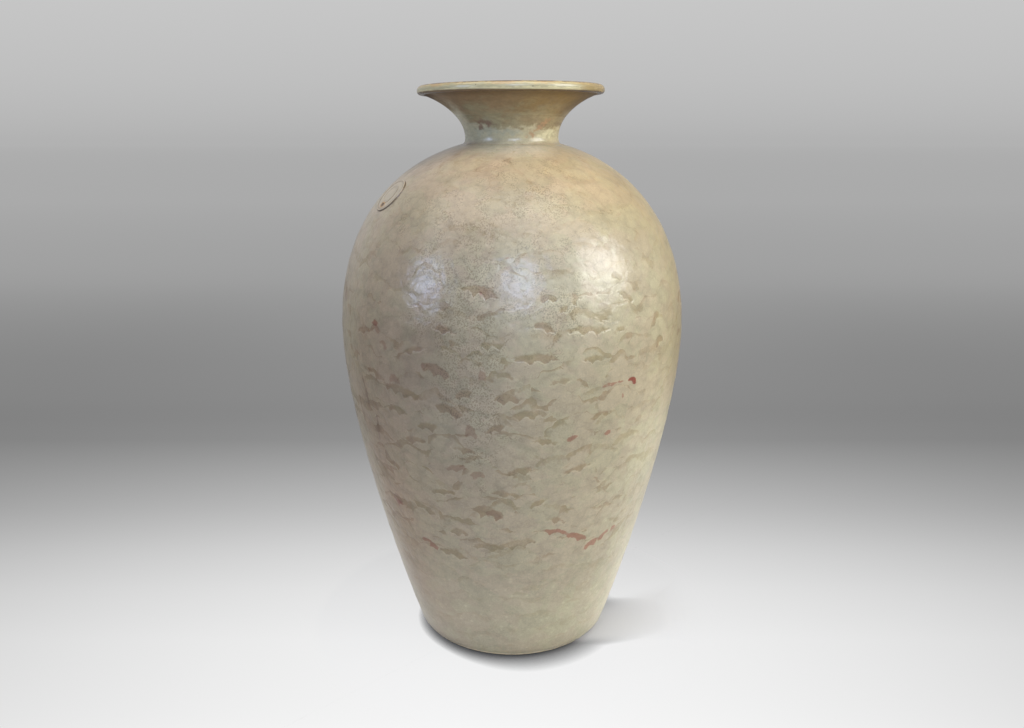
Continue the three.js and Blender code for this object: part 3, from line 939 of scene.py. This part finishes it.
redMarks = [
    (31.8, 173, 5, 4, 0), (19, 173, 9, 3.5, 20), (-48, 117, 11, 3.5, -15),
    (-36, 93, 9, 4, -12), (-33, 90, 8, 6, 10), (16, 107.5, 18, 4.8, -10), (25.5, 100.5, 17, 6.0, -22),
    (33, 92, 13, 6.4, 26), (39, 96, 11, 4.8, 35), (44, 99, 6, 4.4, 40), (-9.4, 261, 2.5, 2.2, 0),
    (0, 281, 8, 1.2, 5), (32, 205, 18, 1.8, 5), (36, 196, 1.8, 4, 0), (-46, 238, 6, 4, 0),
]
deepMarks = [(38.8, 205, 8.5, 3.4, 6), (40.5, 203, 3, 3, 0)]
crackMarks = [
    (-54, 190, 4.5, 26, 10), (-50, 168, 3.6, 22, -6), (-60, 176, 4.4, 22, 4), (-50, 207, 14, 3, -8),
    (-3, 334, 6, 0.8, 25), (-1, 332, 5, 0.7, -30),
]
neckMarks = {  # on the neck, in the same terms
    "salmon": [(38, 355, 15, 4.5, 28), (22, 348.5, 6, 4, 10), (30, 351.5, 6, 3, 30)],
    "mauve": [(-30, 356, 15, 5, -8), (-37, 353.5, 6, 5, 40)],
    "cream": [(50, 349, 12, 7, 8), (38, 347.5, 8, 4, 0)],
    "cool": [(-33, 350.5, 24, 7, 0), (0, 350, 14, 6, 0)],
}


def awayFrom(turnAt, turnMark):
    return (turnAt - math.radians(turnMark) + math.pi) % (2 * math.pi) - math.pi


# Millimetres that a place lies within the nearest mark, below 0 outside it, and whether that is
# its lower half. A mark's top is one low arch. Below, the glaze under it pushes up into the mark.
def markDepth(turnAt, height, radius, marks):
    depth, below = np.full_like(height, -12), np.zeros_like(height)
    for turnMark, middle, width, tall, lean in marks:
        x, y = awayFrom(turnAt, turnMark) * radius, height - middle
        c, s = math.cos(math.radians(lean)), math.sin(math.radians(lean))
        along, across = (x * c + y * s) * 2 / width, y * c - x * s
        arches, start = max(1, round(width / 8)), turnMark * 0.7 + middle * 0.3
        inner = np.clip(np.abs(along), 0, 1)
        top = tall * 0.5 * (1 - inner ** 2.5)
        scallop = np.abs(np.cos(math.pi / 2 * arches * along + start)) if width > 5 else 0.3
        bottom = tall * (-0.5 + 0.45 * scallop) * np.sqrt(1 - inner ** 2)
        ends = (1 - np.abs(along)) * width * 0.35
        within = np.minimum(np.minimum(top - across, across - bottom), ends)
        below = np.where(within > depth, np.clip(0.5 + ((top + bottom) / 2 - across) / 2, 0, 1), below)
        depth = np.maximum(depth, within)
    return depth, below


def softSpot(turnAt, height, radius, turnMark, middle, width, tall):
    q = (2 * awayFrom(turnAt, turnMark) * radius / width) ** 2 + (2 * (height - middle) / tall) ** 2
    return np.exp(-0.7 * q)


# More marks of a kind, over the side that the photo doesn't show
def scattered(count, seed, wide, tall, low=85, high=272):
    draw = random.Random(seed)
    return [(draw.uniform(66, 294), draw.uniform(low, high), draw.uniform(*wide), draw.uniform(*tall),
             draw.uniform(-20, 20)) for _ in range(count)]


def scatteredPatches(count, seed):
    draw = random.Random(seed)
    tones = [patch[4] for patch in glazeAndShadingPatches]
    return [(draw.uniform(85, 275), draw.uniform(20, 320), draw.uniform(80, 140), draw.uniform(50, 100),
             draw.choice(tones), 0.6) for _ in range(count)]


def setColours(mesh, name, channels):
    values = np.ones((len(mesh.vertices), 4), np.float32)
    for i, channel in enumerate(channels):
        values[:, i] = channel
    mesh.attributes.new(name, "FLOAT_COLOR", "POINT").data.foreach_set("color", values.ravel())


def coatAndShadingColour(turnAt, height, radius):
    colour = np.tile(np.array(tone(*coatBase)[:3]), (len(height), 1))
    for turnMark, middle, width, tall, shade, strength in scatteredPatches(22, 4) + glazeAndShadingPatches:
        share = (strength * softSpot(turnAt, height, radius, turnMark, middle, width, tall))[:, None]
        colour = colour * (1 - share) + np.array(tone(*shade)[:3]) * share
    return colour


laceSpots = [  # turn, height, width, tallness, strength
    (-13, 220, 42, 70, 0.9), (5, 258, 90, 50, 0.5), (-24, 262, 50, 60, 0.6), (-10, 170, 34, 70, 0.5),
    (0, 300, 150, 40, 0.5), (14, 244, 20, 60, 0.4), (5, 326, 120, 26, 0.5),
]
zones = {
    "hairTop": (265, 310),              # mm, the heights over which each pattern comes
    "hairMiddle": (120, 200),
    "dotsLow": (160, 90),
    "dotSpot": (0, 44, 190, 44),        # turn, height, width, tallness
    "wildFrom": (70, 110),
    "wildTo": (300, 265),
    "calmSpot": (72, 190, 90, 320),
    "smoothBelow": (92, 50),
}
unseen = {  # count, seed, widths, tallnesses, heights
    "open": (60, 3, (9, 28), (3.5, 8)),
    "mauve": (16, 5, (7, 20), (5, 9)),
    "red": (16, 8, (5, 14), (3, 5)),
    "lace": (8, 12, (50, 90), (40, 80), 160, 290),
}
unseenLace = 0.8


# Every pattern's place on a piece, as colours that the glazes read
def paintCoat(piece):
    mesh = piece.data
    x, y, z = (pointsOf(mesh) * 1000).T
    place = np.arctan2(x, -y), z, np.hypot(x, y)

    setColours(mesh, "coat", coatAndShadingColour(*place).T)
    openDepth, below = markDepth(*place, openMarks + scattered(*unseen["open"]))
    mauveDepth, _ = markDepth(*place, mauveMarks + scattered(*unseen["mauve"]))
    redDepth, _ = markDepth(*place, redMarks + scattered(*unseen["red"]))
    setColours(mesh, "marks", (openDepth, mauveDepth, redDepth, below))
    spots = laceSpots + [(*spot[:4], unseenLace) for spot in scattered(*unseen["lace"])]
    lace = sum(strength * softSpot(*place, *spot) for *spot, strength in spots)
    hair = 0.8 * smoothStep(z, *zones["hairTop"]) + 0.2 * smoothStep(z, *zones["hairMiddle"])
    dots = 0.35 * smoothStep(z, *zones["dotsLow"]) + 0.8 * softSpot(*place, *zones["dotSpot"]) + 0.2
    calm = 0.8 * softSpot(*place, *zones["calmSpot"])
    wild = smoothStep(z, *zones["wildFrom"]) * smoothStep(z, *zones["wildTo"]) * (1 - calm)
    setColours(mesh, "zones", (np.clip(lace, 0, 1), hair, np.clip(dots, 0, 1), wild))
    setColours(mesh, "accents", (markDepth(*place, crackMarks)[0], markDepth(*place, deepMarks)[0],
                                 smoothStep(z, *zones["smoothBelow"])))
    setColours(mesh, "neck", [markDepth(*place, marks)[0] for marks in neckMarks.values()])


# Seal: a thin roundel of clay pressed on to the shoulder, with a ridge at its edge and another inside

seal = {
    "turn": -64,
    "drop": 0.0314,          # below the neck's root
    "radius": 0.0127,
    "thick": 0.0007,
    "edgeRidge": 0.0120,     # radius of each ridge's top
    "innerRidge": 0.0067,
    "ridgeWidth": 0.0009,
    "ridgeHeight": 0.00028,
    "buried": 0.0004,
    "rounded": 0.0005,       # radius of the edge
    "rings": 56,
    "steps": 96,
    "ahead": 0.0005,         # up the outline, to the place that gives the shoulder's slope
    "lineWidth": 0.0005,     # of the glaze's lines
    "edgeShade": 1.2,         # painted shade: the dark line in the crease round the edge
    "grooves": ((0.0112, 0.6), (0.0070, 0.6), (0.0055, 0.3)),      # radius, how dark
    "amberAt": (0.0004, -0.0080),
    "amberSize": (0.0034, 0.0023),
    "fieldFrom": (0.0110, 0.0100),
}


def sealHeightAt(r):
    tops = (seal["edgeRidge"], seal["innerRidge"])
    ridges = sum(math.exp(-((r - at) / (seal["ridgeWidth"] / 2)) ** 2) for at in tops)
    atEdge = max(0.0, (r - seal["radius"] + seal["rounded"]) / seal["rounded"])
    return (seal["thick"] + seal["ridgeHeight"] * ridges) * math.sqrt(max(0.0, 1 - atEdge ** 2))


# Laid on the shoulder by its distance up the outline, so that it follows the curve
def layOnShoulder(x, y, stand):
    upper = np.array([p[:] for p in outside if p.y > bellyHeight])
    lengths = np.concatenate([[0], np.cumsum(np.hypot(*np.diff(upper, axis=0).T))])
    middle = np.interp(rootHeight - seal["drop"], upper[:, 1], lengths)
    r, z = (np.interp(middle + y, lengths, upper[:, i]) for i in (0, 1))
    nextR, nextZ = (np.interp(middle + y + seal["ahead"], lengths, upper[:, i]) for i in (0, 1))
    out, rise = nextZ - z, r - nextR
    size = np.hypot(out, rise)
    turnAt = math.radians(seal["turn"]) + x / r
    away = r + out / size * stand
    return np.stack([away * np.sin(turnAt), -away * np.cos(turnAt), z + rise / size * stand], 1)


def shoulderSeal():
    radii = [seal["radius"] * i / seal["rings"] for i in range(seal["rings"] + 1)]
    face = [Vector((r, sealHeightAt(r))) for r in radii]
    back = [Vector((seal["radius"], -seal["buried"])), Vector((0, -seal["buried"]))]
    mesh = spun("glazed_seal", face + back, seal["steps"], closed=False)
    x, y, stand = pointsOf(mesh).astype(float).T
    co = layOnShoulder(x, y, stand).astype(np.float32)
    throwByHand(co)
    mesh.vertices.foreach_set("co", co.ravel())
    mesh.shade_smooth()

    distance = np.hypot(x, y)

    def ringAt(radius):
        return np.exp(-((distance - radius) / seal["lineWidth"]) ** 2)

    # Painted shade: a dark line in the crease round the edge, in the grooves' colour
    edge = seal["edgeShade"] * ringAt(seal["radius"]) * (stand < seal["thick"])
    groove = sum((dark * ringAt(radius) for radius, dark in seal["grooves"]), edge)
    ridge = ringAt(seal["edgeRidge"]) + ringAt(seal["innerRidge"])
    (atX, atY), (wide, tall) = seal["amberAt"], seal["amberSize"]
    amber = np.exp(-((x - atX) / wide) ** 2 - ((y - atY) / tall) ** 2)
    field = smoothStep(distance, *seal["fieldFrom"])
    setColours(mesh, "seal", (np.clip(groove, 0, 1), np.clip(ridge, 0, 1), amber, field))
    return placed("glazed_seal", mesh)


linedFaces = {
    "inward": 0.1,           # least share of a face's normal that points to the axis
    "level": 0.9,            # and upwards, on the floor
    "near": 0.0005,          # the floor's height
}


# Inner faces, and the floor they stand on, carry the lining's glaze
def lineInside(piece):
    mesh = piece.data
    centre, normal = np.empty((2, len(mesh.polygons) * 3), np.float32)
    mesh.polygons.foreach_get("center", centre)
    mesh.polygons.foreach_get("normal", normal)
    centre, normal = centre.reshape(-1, 3), normal.reshape(-1, 3)
    radius = np.hypot(centre[:, 0], centre[:, 1])
    towards = (centre * normal)[:, :2].sum(1)
    inward = (towards < -linedFaces["inward"] * radius) & (centre[:, 2] > floorTop)
    floor = (normal[:, 2] > linedFaces["level"]) & (np.abs(centre[:, 2] - floorTop) < linedFaces["near"])
    mesh.materials.append(lining)
    mesh.polygons.foreach_set("material_index", (inward | floor).astype(np.int32))


body, lining = bodyGlaze(), liningGlaze()
neckFinish, lipFinish, footFinish, sealFinish = neckGlaze(), lipGlaze(), footGlaze(), sealGlaze()
print("glazes mixed")

for make, node, slot, material in [
    (footSlab, "foot_slab", "bare_clay", footFinish),
    (lowerWall, "lower_wall", "body_glaze", body),
    (shoulderDome, "shoulder_dome", "body_glaze", body),
    (neckRootCoil, "neck_root_coil", "neck_glaze", neckFinish),
    (flaredNeck, "flared_neck", "neck_glaze", neckFinish),
    (lipRing, "lip_ring", "lip_glaze", lipFinish),
    (shoulderSeal, "shoulder_seal", "seal_glaze", sealFinish),
]:
    piece = make()
    paintCoat(piece)
    standFor(piece, node, material)
    if make in (footSlab, lowerWall, shoulderDome, flaredNeck):
        lineInside(piece)
    print(piece.name, len(piece.data.vertices), "vertices")

for name in ("floor_joint_coil", "belly_joint_coil"):
    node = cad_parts[name]
    node.data.materials.clear()
    node.data.materials.append(lining)


# Floor, backdrop and lamps

studio = {
    "floorSize": 90.0,
    "ambient": 0.15,         # of the room in front of the vase
    "ambientBehind": 0.42,
    "ambientTurns": (-0.3, 0.6),    # how far back a view has to go for the one and for the other
    "aim": (0, 0, 0.26),
}
lamps = [  # name, turn, elevation, distance, size, watts, colour
    ("left window", -56.8, 16.6, 1.3, 0.34, 4.8, (0.58, 0.69, 1.0)),
    ("middle window", 6.0, 22.4, 1.4, 0.50, 8.1, (0.53, 0.66, 1.0)),
    ("right window", 67.2, 23.2, 1.3, 0.62, 8.9, (1.0, 0.97, 0.92)),
    ("right softbox", 62, 22, 1.5, 1.0, 8.0, (0.94, 0.96, 1.0)),
    ("right overhead", 50, 60, 1.4, 0.8, 7.0, (1.0, 0.93, 0.76)),
    ("overhead", 0, 66, 1.4, 0.9, 7.0, (0.94, 0.96, 1.0)),
    ("left overhead", -75, 62, 1.4, 0.8, 5.0, (1.0, 0.93, 0.86)),
]


def makeLamps():
    for name, turn, rise, distance, size, watts, colour in lamps:
        data = bpy.data.lights.new(name, "AREA")
        data.shape, data.size, data.energy, data.color = "DISK", size, watts, colour
        made = placed(name, data)
        a, e = math.radians(turn), math.radians(rise)
        towards = Vector((math.sin(a) * math.cos(e), -math.cos(a) * math.cos(e), math.sin(e)))
        made.location = Vector(studio["aim"]) + towards * distance
        made.rotation_euler = towards.to_track_quat("Z", "Y").to_euler()


backdrop = {
    "floorTones": [  # distance behind the vase's axis in metres, and how light the floor looks there
        (-0.14, 246), (-0.04, 240), (0.03, 231), (0.10, 217), (0.20, 190), (0.30, 168), (0.40, 146),
        (0.50, 139), (0.80, 144), (1.6, 159), (4.5, 170), (45, 177),
    ],
    "skyTones": [  # rise of the view above level, and how light it looks there
        (-0.02, 175), (0.0, 178), (0.06, 191), (0.14, 199),
    ],
    "litFloor": 1.305,       # how bright the lamps make a white floor beside the foot
    "litSlope": (0.34, -0.46),      # and how much brighter per metre to the right and to the back
    "bounce": 0.78,          # what share of the light the floor sends back on to the vase
    "sideTone": 0.60,        # how light the pool of light leaves the floor at its sides
    "sideAcross": (0.03, 0.75),
    "sideBehind": (0.1, 0.6, 1.0, 0.3),     # and less so from there to there behind the axis
    "sideEnds": (0.8, 2.0, 1.0, 0.0),
    "farAway": (0.7, 12.0),         # where the floor in front turns to the backdrop's tone
    "farFront": (0.1, -0.6),
    "contactReach": 0.016,   # how far from the foot the floor darkens, and how steeply
    "contactLeft": 0.007,
    "contactAcross": (-0.055, 0.02),
    "contactPower": 1.4,
    "contactSamples": 8,
    "softened": 0.94,        # how much the lamps' shadow is lightened
    "softenedTo": (0.082, 0.152),   # and all of it beyond this distance from the axis
    "wedgeFrom": (-0.033, -0.043),  # where a wedge begins in which it is lightened less
    "wedgeTurn": 104,
    "wedgeSides": (0.955, 0.9998),  # cosine of the turn off its middle, at its edge and where it is full
    "wedgeReach": 0.050,     # how far the foot darkens the floor in it
    "softenedThere": 0.35,
}


def grey(shade):
    return tone(shade, shade, shade)


def toneRamp(t, value, stops):
    ramp = t.add("ShaderNodeValToRGB", {0: value})
    low, high = stops[0][0], stops[-1][0]
    places = [math.sqrt((at - low) / (high - low)) for at, _ in stops]
    marks = ramp.color_ramp.elements
    for i, (place, (_, shade)) in enumerate(zip(places, stops)):
        mark = marks[i] if i in (0, 1) else marks.new(place)
        mark.position, mark.color = place, grey(shade)
    return ramp.outputs[0]


# The root spreads the near part of a ramp out
def rampPlace(t, value, stops):
    low, high = stops[0][0], stops[-1][0]
    return t.math("SQRT", t.math("DIVIDE", t.less(value, low), high - low, clamp=True))


# The tone in which the floor is seen: a pool of light that sinks into the backdrop's greys
def floorTone(t, right, back, away):
    seen = toneRamp(t, rampPlace(t, back, backdrop["floorTones"]), backdrop["floorTones"])
    sides = t.times(t.step(t.math("ABSOLUTE", right), *backdrop["sideAcross"]),
                    t.step(back, *backdrop["sideBehind"]), t.step(back, *backdrop["sideEnds"]))
    seen = t.tinted(sides, seen, (backdrop["sideTone"],) * 3 + (1,))
    farFront = t.times(t.step(away, *backdrop["farAway"]), t.step(back, *backdrop["farFront"]))
    level = backdrop["skyTones"][1][1]
    return t.mix(farFront, seen, grey(level))


# The camera sees the floor's own glow in its tone. Round the foot a little of the lit floor with the
# lamps' shadow is mixed in, and more of it in a wedge to the right, and ambient occlusion darkens the
# glow close to the foot. Light that bounces on to the vase comes from a plain pale floor.
def makeFloor():
    bm = bmesh.new()
    bmesh.ops.create_grid(bm, x_segments=1, y_segments=1, size=studio["floorSize"] / 2)
    mesh = bpy.data.meshes.new("floor")
    bm.to_mesh(mesh)
    bm.free()
    made = placed("floor", mesh)
    t = Tree(bpy.data.materials.new("floor"))
    right, back, _ = t.parts(t.coords)
    away = t.vector("LENGTH", t.coords, result="Value")
    seen = floorTone(t, right, back, away)

    turnTo = math.radians(backdrop["wedgeTurn"])
    fromTip = t.vector("NORMALIZE", t.vector("SUBTRACT", t.coords, (*backdrop["wedgeFrom"], 0)))
    towards = t.vector("DOT_PRODUCT", fromTip, (math.sin(turnTo), -math.cos(turnTo), 0), result="Value")
    wedge = t.step(towards, *backdrop["wedgeSides"])
    softened = t.step(wedge, 0.0, 1.0, backdrop["softened"], backdrop["softenedThere"])
    share = t.most(softened, t.step(away, *backdrop["softenedTo"]))
    reach = t.step(right, *backdrop["contactAcross"], backdrop["contactLeft"], backdrop["contactReach"])
    reach = t.plus(reach, t.times(wedge, backdrop["wedgeReach"] - backdrop["contactReach"]))
    near = t.add("ShaderNodeAmbientOcclusion", {"Distance": reach}, samples=backdrop["contactSamples"])
    contact = t.math("POWER", near.outputs["AO"], backdrop["contactPower"])

    slopes = [t.times(at, slope) for at, slope in zip((right, back), backdrop["litSlope"])]
    level = t.times(t.plus(*slopes, 1.0), backdrop["litFloor"])
    levels = t.add("ShaderNodeCombineXYZ", {0: level, 1: level, 2: level}).outputs[0]
    clay = t.vector("DIVIDE", seen, levels)
    lit = t.add("ShaderNodeBsdfDiffuse", {"Color": clay}).outputs[0]
    glow = t.add("ShaderNodeEmission", {"Color": seen, "Strength": contact}).outputs[0]
    shown = t.add("ShaderNodeMixShader", {0: share, 1: lit, 2: glow}).outputs[0]
    plain = t.add("ShaderNodeBsdfDiffuse", {"Color": (backdrop["bounce"],) * 3 + (1,)}).outputs[0]
    above = t.add("ShaderNodeMixShader", {0: t.looking(), 1: plain, 2: shown}).outputs[0]
    below = t.add("ShaderNodeBsdfTransparent").outputs[0]
    side = t.add("ShaderNodeNewGeometry").outputs["Backfacing"]
    both = t.add("ShaderNodeMixShader", {0: side, 1: above, 2: below}).outputs[0]
    t.tree.links.new(both, t.tree.nodes["Material Output"].inputs[0])
    made.data.materials.append(t.material)


def makeWorld():
    scene.world = bpy.data.worlds.new("studio")
    t = Tree(scene.world)
    background = t.tree.nodes["Background"]
    background.inputs[0].default_value = (1, 1, 1, 1)
    _, back, rise = t.parts(t.add("ShaderNodeTexCoord").outputs["Generated"])
    ambient = t.step(back, *studio["ambientTurns"], studio["ambient"], studio["ambientBehind"])
    t.put(background.inputs[1], ambient)
    shade = toneRamp(t, rampPlace(t, rise, backdrop["skyTones"]), backdrop["skyTones"])
    seen = t.add("ShaderNodeBackground", {0: shade}).outputs[0]
    both = t.add("ShaderNodeMixShader", {0: t.looking(), 1: background.outputs[0], 2: seen}).outputs[0]
    t.tree.links.new(both, t.tree.nodes["World Output"].inputs[0])


makeLamps()
makeFloor()
makeWorld()
scene.view_settings.view_transform = "Standard"
print("studio lit")
